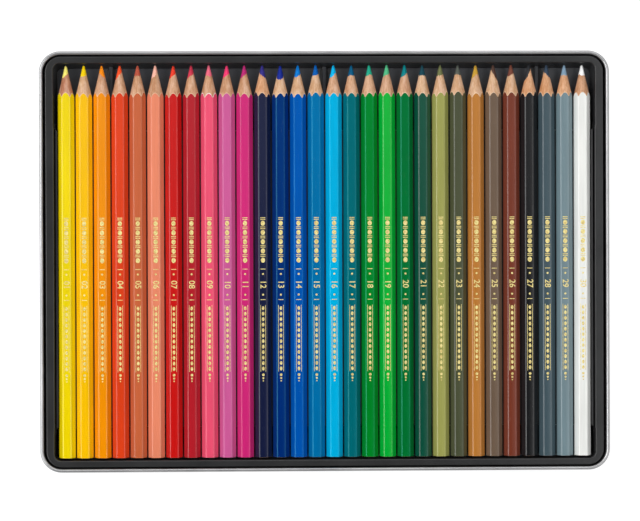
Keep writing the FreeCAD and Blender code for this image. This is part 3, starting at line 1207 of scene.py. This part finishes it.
@dataclass
class Pencil:
    """One pencil: lacquered, sharpened casing, pigment core and foil print on its top facet."""

    number: int
    colour: PencilColour
    cone_half: float = 13.2
    cone_steps: int = 72
    tip_round: float = 0.5
    tip_steps: int = 5
    edge_segments: int = 5
    tail_edge: float = 0.18
    tail_segments: int = 2
    tail_facing: float = -0.9
    core_radius: float = 1.45
    core_sides: int = 56
    bore_clearance: float = 0.015
    overrun: float = 1.0
    tool_overrun: float = 4.0
    print_start: float = 19.8
    print_depth: float = 0.02
    digits_along: float = 30.0
    digits_size: float = 3.7
    digits_swell: float = 0.05
    digits_steps: int = 4
    seed: int = 1000
    most_short: float = 0.3
    most_shift: tuple[float, float] = (0.07, 0.05)
    most_tilt: float = 0.25
    wave_orders: tuple[int, ...] = (2, 3, 5, 9, 13)
    wave_sizes: tuple[float, float] = (0.010, 0.026)
    node: str = field(init=False)
    body: str = field(init=False)
    low: Vector = field(init=False)
    high: Vector = field(init=False)
    short: float = field(init=False)
    shift: tuple[float, float] = field(init=False)
    tilt: tuple[float, float] = field(init=False)
    waves: list[tuple[int, float, float]] = field(init=False)

    def __post_init__(self) -> None:
        """Finds the pencil in the frame and draws its small irregularities by lot."""
        self.body = f"pencil_{self.number:02d}"
        self.node = f"{self.body}_{self.colour.name}"
        self.low, self.high = (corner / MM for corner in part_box(self.node))
        chance = random.Random(self.seed + self.number)
        self.short = chance.uniform(0.0, self.most_short)
        self.shift = tuple(chance.uniform(-most, most) for most in self.most_shift)
        self.tilt = tuple(chance.uniform(-self.most_tilt, self.most_tilt) for _ in range(2))
        self.waves = [
            (order, chance.uniform(0.0, 2.0 * math.pi), chance.uniform(*self.wave_sizes))
            for order in self.wave_orders
        ]

    @property
    def x(self) -> float:
        """Place of the middle plane."""
        return (self.low.x + self.high.x) / 2.0

    def build(self, cedar: bpy.types.Material, foil: bpy.types.Material) -> None:
        """Builds the three pieces.

        Args:
            cedar: The finish of its wood.
            foil: The finish of its print.
        """
        self._casing(cedar)
        self._core()
        self._print(foil)

    def _blank(self) -> Sketch:
        """The unsharpened pencil.

        Returns:
            The lacquered hexagonal bar with rounded long edges and a tail of bare wood.
        """
        sketch = Sketch()
        mesh = sketch.mesh
        bmesh.ops.create_circle(mesh, cap_ends=True, segments=6, radius=APOTHEM / COS30)
        place = Matrix.Translation((self.x, self.low.y, AXIS_Z))
        sketch.move(place @ turned(90.0, "X") @ turned(30.0, "Z"))
        length = self.high.y - self.low.y + self.overrun
        sketch.raise_faces(mesh.faces[:], (0.0, length, 0.0))
        sketch.close()
        long_edges = [e for e in mesh.edges if e.calc_length() > length / 2.0]
        sketch.bevel(long_edges, EDGE_RADIUS * TAN30, self.edge_segments)
        tail = self.low.y + NEAR
        tail_edges = [e for e in mesh.edges if max(v.co.y for v in e.verts) < tail]
        sketch.bevel(tail_edges, self.tail_edge, self.tail_segments)
        for face in mesh.faces:
            if face.normal.y < self.tail_facing:
                face.material_index = 1
        return sketch

    def _sharpener(self) -> Sketch:
        """The turned shape that sharpening leaves.

        Returns:
            A long closed bar with a cone and a worn point, a little off the pencil's axis.
        """
        sketch = Sketch()
        tip = self.high.y - self.short
        half = math.radians(self.cone_half)
        wide = 2.0 * CORNER_REACH
        back = self.low.y - self.tool_overrun
        centre = (0.0, tip - self.tip_round, 0.0)
        spot = sketch.point((0.0, tip, 0.0))
        spot = sketch.arc(spot, centre, UP, self.cone_half - 90.0, self.tip_steps)
        spot = sketch.run(spot, (wide, spot.co.y - (wide - spot.co.x) / math.tan(half), 0.0))
        spot = sketch.run(spot, (wide, back, 0.0))
        sketch.run(spot, (0.0, back, 0.0))
        sketch.turn(sketch.mesh.edges[:], (0.0, 0.0, 0.0), ALONG, 360.0, self.cone_steps)
        sketch.close()
        pivot = Matrix.Translation((0.0, tip, 0.0))
        lean = turned(self.tilt[0], "Z") @ turned(self.tilt[1], "X")
        place = Matrix.Translation((self.x + self.shift[0], 0.0, AXIS_Z + self.shift[1]))
        sketch.move(place @ pivot @ lean @ pivot.inverted())
        return sketch.paint(1)

    def _bar(self, grow: float, start: float) -> Sketch:
        """The core's uneven round bar.

        Args:
            grow: How much larger its radius is.
            start: Where its lower end lies.

        Returns:
            The closed bar, longer than the pencil at the tip.
        """
        sketch = Sketch()
        mesh = sketch.mesh
        bmesh.ops.create_circle(
            mesh, cap_ends=True, segments=self.core_sides, radius=self.core_radius,
        )
        for vert in mesh.verts:
            angle = math.atan2(vert.co.y, vert.co.x)
            swell = sum(size * math.sin(n * angle + phase) for n, phase, size in self.waves)
            vert.co *= 1.0 + swell + grow / self.core_radius
        place = (self.x - self.colour.lean, start, AXIS_Z + self.colour.lift)
        sketch.move(Matrix.Translation(place) @ turned(90.0, "X"))
        length = self.high.y - start + 2.0 * self.overrun
        sketch.raise_faces(mesh.faces[:], (0.0, length, 0.0))
        return sketch.close().paint(1)

    def _casing(self, cedar: bpy.types.Material) -> None:
        """Sharpens and bores the blank.

        Args:
            cedar: The finish of the wood.
        """
        sketch = self._blank()
        sketch.join(self._sharpener(), Join.COMMON)
        sketch.join(self._bar(self.bore_clearance, self.low.y - self.overrun), Join.CUT)
        lacquer = Lacquer(self.colour.name, self.colour.lacquer, self.colour.gloss).material()
        piece = sketch.piece(self.body + "_casing", [lacquer, cedar])
        even_normals(piece)
        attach(piece, self.body)
        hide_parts(self.node)
        LOG.info("%s: %s", piece.name, self.colour.name)

    def _core(self) -> None:
        """Sharpens the core with the casing."""
        sketch = self._bar(0.0, self.low.y)
        sketch.join(self._sharpener(), Join.COMMON).paint(0)
        pigment = Pigment(self.colour.name, self.colour.pigment).material()
        piece = sketch.piece(self.body + "_core", [pigment])
        even_normals(piece)
        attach(piece, self.body)
        LOG.info("%s: pigment core, %d faces", piece.name, len(piece.data.polygons))

    def _print(self, foil: bpy.types.Material) -> None:
        """Stamps the print: a run of beads and reels, the plain number and a ruled run of beads.

        Args:
            foil: The finish of the print.
        """
        sketch = Sketch()
        for run in PRINT_RUNS:
            for step in range(run.count):
                for stamp in run.stamps:
                    self._stamp(sketch, stamp, step * run.step)
        self._digits(sketch)
        lifted = sketch.raise_faces(sketch.mesh.faces[:], (0.0, 0.0, 2.0 * self.print_depth))
        sketch.close()
        piece = sketch.piece(self.body + "_print", [foil])
        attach(piece, self.body)
        LOG.info("%s: %d stamped faces", piece.name, len(lifted))

    def _on_facet(self, along: float, aside: float = 0.0) -> Matrix:
        """A place just under the top facet, counted from the print's start."""
        height = self.high.z - self.print_depth
        return Matrix.Translation((self.x + aside, self.print_start - along, height))

    def _stamp(self, sketch: Sketch, stamp: Stamp, further: float) -> None:
        """Adds one flat figure of the print.

        Args:
            sketch: Where it is drawn.
            stamp: The figure.
            further: How far it is moved towards the tail.
        """
        size = Matrix.Diagonal((stamp.wide / 2.0, stamp.deep / 2.0, 1.0, 1.0))
        place = self._on_facet(stamp.along + further, stamp.aside) @ size
        if stamp.sides == BAR:
            bmesh.ops.create_grid(sketch.mesh, x_segments=1, y_segments=1, size=1.0, matrix=place)
        else:
            bmesh.ops.create_circle(
                sketch.mesh, cap_ends=True, segments=stamp.sides, radius=1.0, matrix=place,
            )

    def _digits(self, sketch: Sketch) -> None:
        """Adds the pencil's plain number, read from the tip towards the tail.

        Args:
            sketch: Where it is drawn.
        """
        text = bpy.data.curves.new("digits", "FONT")
        text.body = f"{self.number:02d}"
        text.size = self.digits_size
        text.offset = self.digits_swell
        text.align_x = "CENTER"
        text.align_y = "CENTER"
        text.resolution_u = self.digits_steps
        holder = linked("digits", text)
        graph = bpy.context.evaluated_depsgraph_get()
        flat = bpy.data.meshes.new_from_object(holder.evaluated_get(graph))
        flat.transform(self._on_facet(self.digits_along) @ turned(-90.0, "Z"))
        sketch.mesh.from_mesh(flat)
        bpy.data.curves.remove(text)
        bpy.data.meshes.remove(flat)


@dataclass(frozen=True)
class Lamp:
    """One soft rectangular light.

    Attributes:
        name: What it is.
        place: Its middle, in metres; it faces the origin.
        size: Its length along Y and its other side.
        glow: Its brightness, where 1 is as bright as white paper in this studio.
    """

    name: str
    place: Place
    size: tuple[float, float]
    glow: float

    def build(self) -> None:
        """Hangs the light."""
        light = bpy.data.lights.new(self.name, "AREA")
        light.shape = "RECTANGLE"
        light.size, light.size_y = self.size[1], self.size[0]
        light.energy = self.glow * math.pi * self.size[0] * self.size[1]
        made = linked(self.name, light)
        back = Vector(self.place).normalized()
        made.matrix_world = Matrix.Translation(self.place) @ facing(back, Vector(ALONG))
        made.visible_camera = False


@dataclass
class Studio:
    """Pale floor, soft lights, plain surroundings and the camera above the tin.

    Attributes:
        target: What the camera looks at.
        distance: From the camera to the target.
        lean: Degrees by which the camera stands off towards +X.
        tilt: Degrees by which it stands off towards +Y.
        roll: Degrees by which it is turned about its view.
        lens: The camera's focal length.
        sensor: Width of its sensor.
        clip: Nearest and farthest point that it sees, in metres.
        lamps: The lights.
        tent: Brightness of the tent's wall.
        tent_lean: How much brighter the wall is towards -X.
        zenith: Brightness of the tent's top.
        tent_top: Heights between which the wall turns into the top.
        tent_foot: Heights between which the white foot of the wall ends.
        hatch_x: The hatch's two soft edges across the row.
        hatch_y: The hatch's two soft edges along the pencils.
        floor_half: Half of the floor's side, in metres.
        paper: Colour of the floor in the lights.
        paper_glow: The floor's own white.
        far: Metres between which the floor turns whiter.
        far_gain: How much whiter it is far away.
    """

    target: Place = (-2.275, 0.2675, 8.3)
    distance: float = 1250.0
    lean: float = -1.728
    tilt: float = 0.554
    roll: float = 0.199
    lens: float = 157.73
    sensor: float = 36.0
    clip: tuple[float, float] = (0.05, 50.0)
    lamps: tuple[Lamp, ...] = (
        Lamp("left_box", (-0.80, 0.0, 0.96), (1.2, 0.55), 4.3),
        Lamp("right_box", (0.62, 0.0, 1.09), (1.6, 0.58), 1.6),
        Lamp("back_box", (0.0, 0.85, 0.85), (0.5, 1.2), 2.0),
    )
    tent: float = 0.36
    tent_lean: float = 0.08
    zenith: float = 0.33
    tent_top: tuple[float, float] = (0.80, 0.96)
    tent_foot: tuple[float, float] = (0.06, 0.14)
    hatch_x: tuple[float, ...] = (-0.32, -0.22, 0.04, 0.18)
    hatch_y: tuple[float, ...] = (-0.25, -0.19, -0.02, 0.02)
    floor_half: float = 8.0
    paper: Colour = (0.34, 0.34, 0.34, 1.0)
    paper_glow: Colour = (0.80, 0.80, 0.80, 1.0)
    far: tuple[float, float] = (0.8, 2.5)
    far_gain: float = 0.12

    def build(self) -> None:
        """Sets up everything round the object."""
        bpy.context.scene.view_settings.view_transform = "Standard"
        for lamp in self.lamps:
            lamp.build()
        self._floor()
        self._surroundings()
        self._camera()

    def _floor(self) -> None:
        """A wide pale floor that shows white and keeps the object's shadow."""
        mesh = bmesh.new()
        bmesh.ops.create_grid(mesh, x_segments=1, y_segments=1, size=self.floor_half)
        data = bpy.data.meshes.new("floor")
        mesh.to_mesh(data)
        mesh.free()
        floor = linked("floor", data)
        graph = Graph.finish("pale_floor")
        path = graph.node("ShaderNodeLightPath").outputs
        rays = ("Is Camera Ray", "Is Glossy Ray", "Is Transmission Ray")
        camera, glossy, through = (Signal(graph, path[ray]) for ray in rays)
        spot = graph.node("ShaderNodeTexCoord").outputs["Object"]
        reach = graph.value("ShaderNodeVectorMath", {"operation": "LENGTH"}, {0: spot}, "Value")
        seen = (camera + glossy + through) * (1.0 + reach.rise(*self.far) * self.far_gain)
        paper = graph.node("ShaderNodeBsdfDiffuse", None, {"Color": self.paper})
        sockets = {"Color": self.paper_glow, "Strength": seen}
        white = graph.node("ShaderNodeEmission", None, sockets)
        both = graph.node("ShaderNodeAddShader", None, {0: paper.outputs[0], 1: white.outputs[0]})
        graph.node("ShaderNodeOutputMaterial", None, {"Surface": both.outputs[0]})
        data.materials.append(graph.owner)

    def _surroundings(self) -> None:
        """A white tent: brightest at its foot, dim at the top, with a dark hatch by the top."""
        world = bpy.data.worlds.new("studio")
        bpy.context.scene.world = world
        graph = Graph(world)
        x, y, z = graph.split(graph.node("ShaderNodeTexCoord").outputs["Generated"])
        wall = self.tent - x * self.tent_lean
        top = z.rise(*self.tent_top)
        glow = wall + top * (self.zenith - wall)
        hatch = x.rise(*self.hatch_x[:2]) * (1.0 - x.rise(*self.hatch_x[2:]))
        hatch = hatch * y.rise(*self.hatch_y[:2]) * (1.0 - y.rise(*self.hatch_y[2:]))
        glow = glow * (1.0 - hatch * top)
        low = 1.0 - z.rise(*self.tent_foot)
        sockets = {"Color": WHITE, "Strength": glow + low * (1.0 - glow)}
        sky = graph.node("ShaderNodeBackground", None, sockets)
        graph.node("ShaderNodeOutputWorld", None, {"Surface": sky.outputs[0]})

    def _camera(self) -> None:
        """Hangs the camera almost straight above the tin, as the photograph's was."""
        data = bpy.data.cameras.new("camera")
        data.lens = self.lens
        data.sensor_width = self.sensor
        data.sensor_fit = "HORIZONTAL"
        data.clip_start, data.clip_end = self.clip
        lean, tilt, roll = (math.radians(angle) for angle in (self.lean, self.tilt, self.roll))
        back = Vector((math.sin(lean), math.sin(tilt), 1.0)).normalized()
        place = (Vector(self.target) + back * self.distance) * MM
        upward = Vector((math.sin(roll), math.cos(roll), 0.0))
        camera = linked("camera", data)
        camera.matrix_world = Matrix.Translation(place) @ facing(back, upward)
        bpy.context.scene.camera = camera


def main() -> None:
    """Builds the studio and every piece in order."""
    logging.basicConfig(level=logging.INFO, format="%(message)s")
    Studio().build()
    TinTray().build()
    PencilInsert().build()
    kinds = dict.fromkeys((colour.timber, colour.primed) for colour in PENCIL_COLOURS)
    cedars = {kind: Cedar(*kind).material() for kind in kinds}
    foil = GoldFoil().material()
    for number, colour in enumerate(PENCIL_COLOURS, 1):
        Pencil(number, colour).build(cedars[colour.timber, colour.primed], foil)


if __name__ == "__main__":
    main()
